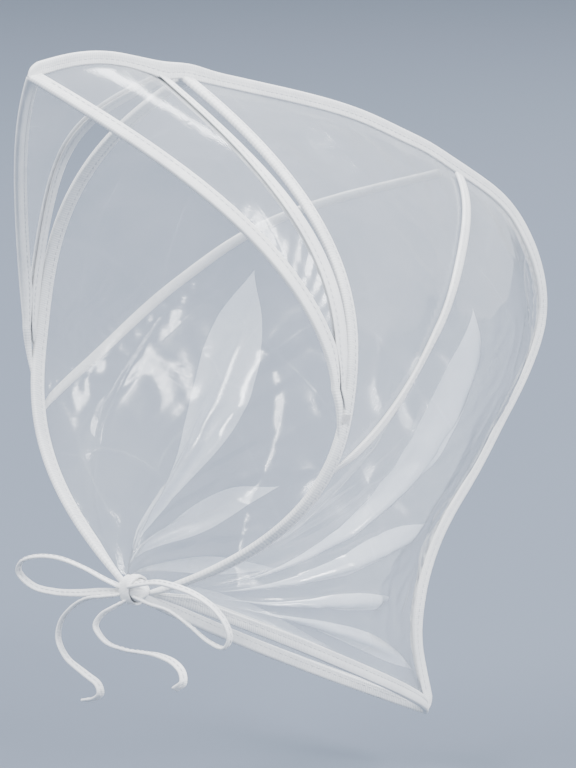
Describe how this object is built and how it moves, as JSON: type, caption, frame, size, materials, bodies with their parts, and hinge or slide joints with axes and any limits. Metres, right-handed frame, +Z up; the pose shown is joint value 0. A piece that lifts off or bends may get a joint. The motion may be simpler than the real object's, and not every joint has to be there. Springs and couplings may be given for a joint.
{
  "type": "rain bonnet",
  "caption": "Clear film rain hood with a stand-out visor, pleated back panels, white taped edges and ties bowed under the chin.",
  "frame": {"origin": "inside of the crown on the ridge, where the top of the head touches", "axes": "+Z up, the face looks along -Y, +X is the wearer's left"},
  "size_m": [0.2226, 0.3424, 0.3531],
  "materials": {
    "film": "clear soft film with a slight white veil",
    "binding": "white folded woven tape",
    "tie": "white narrow folded tape"
  },
  "bodies": {
    "root": {"visor": "film", "crown_left": "film", "crown_right": "film", "back_left": "film", "back_right": "film", "visor_rim_binding": "binding", "visor_base_binding": "binding", "face_binding": "binding", "centre_seam_binding": "binding", "back_seam_binding_left": "binding", "back_seam_binding_right": "binding", "hem_binding": "binding", "tie_knot": "tie", "bow_loop_left": "tie", "bow_loop_right": "tie", "tie_tail_left": "tie", "tie_tail_right": "tie"}
  },
  "joints": []
}
